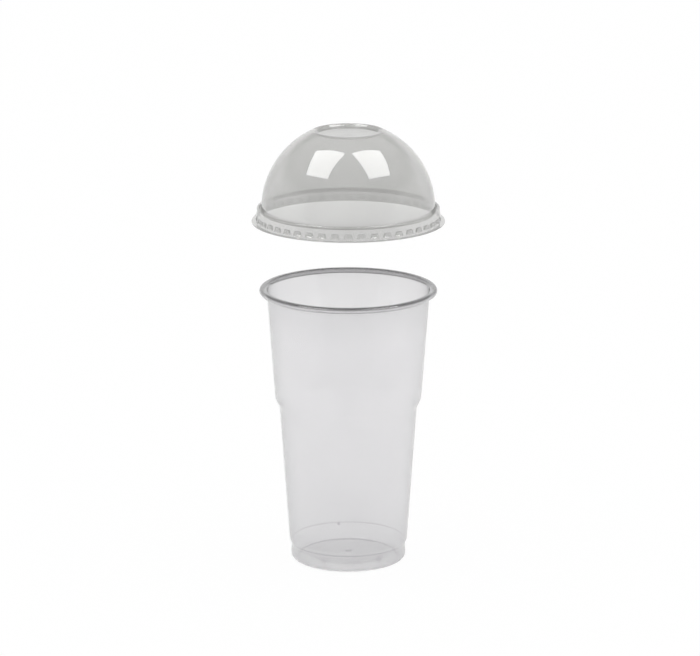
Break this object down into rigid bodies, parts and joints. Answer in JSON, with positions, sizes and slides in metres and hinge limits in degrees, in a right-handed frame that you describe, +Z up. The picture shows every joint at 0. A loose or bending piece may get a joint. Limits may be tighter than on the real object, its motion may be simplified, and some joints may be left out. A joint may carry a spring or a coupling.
{
  "type": "plastic cup with dome lid",
  "caption": "Clear disposable drinks cup with a rolled rim and a stacking shoulder, and a closed dome lid with a snap skirt, lifted off above it.",
  "frame": {"origin": "on the cup's axis at the height of the table it stands on", "axes": "+Z up along the common axis of the cup and the lid, +X to the right and -Y towards the viewer in the picture"},
  "size_m": [0.1028, 0.1028, 0.2357],
  "materials": {
    "cup_plastic": "slightly hazy clear plastic",
    "lid_plastic": "crisp clear plastic"
  },
  "bodies": {
    "cup": {"cup": "cup_plastic"},
    "lid": {"dome_lid": "lid_plastic"}
  },
  "joints": [
    {"name": "lid_lift", "type": "slide", "parent": "cup", "child": "lid", "axis": [0, 0, 1], "range_m": [-0.042, 0]}
  ]
}
